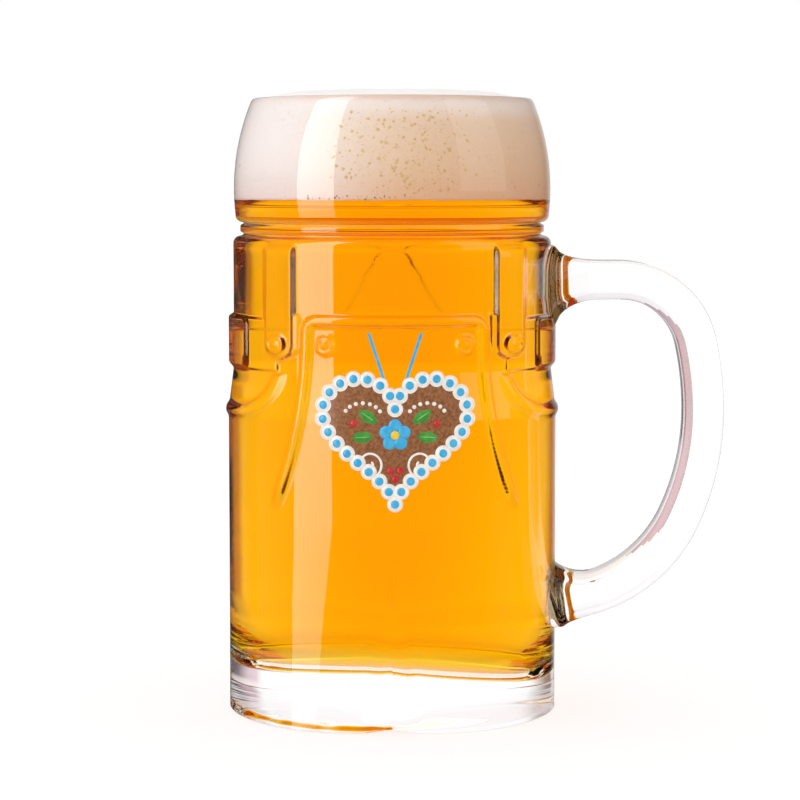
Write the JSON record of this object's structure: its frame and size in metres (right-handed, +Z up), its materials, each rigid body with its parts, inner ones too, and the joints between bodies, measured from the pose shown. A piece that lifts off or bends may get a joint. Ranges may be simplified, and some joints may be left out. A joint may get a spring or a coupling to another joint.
{
  "type": "beer mug",
  "caption": "Tall pressed-glass beer mug shaped as short trousers with braces, a fused D-shaped handle, a fired enamel heart on the front, full of golden beer with a domed foam head.",
  "frame": {"origin": "middle of the mug's base, on the plane that it stands on", "axes": "+Z up along the axis of the body, +X from the axis to the handle, -Y to the front with the flap and the print"},
  "size_m": [0.1277, 0.0841, 0.1586],
  "materials": {
    "glass": "clear fire-polished soda-lime glass",
    "beer": "clear golden lager",
    "foam": "fine off-white beer foam with open bubbles",
    "enamel_brown": "fired enamel print, gingerbread brown",
    "enamel_white": "fired enamel print, white icing",
    "enamel_blue": "fired enamel print, light blue icing",
    "enamel_green": "fired enamel print, leaf green",
    "enamel_red": "fired enamel print, berry red",
    "enamel_yellow": "fired enamel print, yellow"
  },
  "bodies": {
    "root": {"glass_body": "glass", "handle": "glass", "beer": "beer", "foam_head": "foam", "print_gingerbread": "enamel_brown", "print_white_icing": "enamel_white", "print_blue_icing": "enamel_blue", "print_leaves": "enamel_green", "print_berries": "enamel_red", "print_flower_eye": "enamel_yellow"}
  },
  "joints": []
}
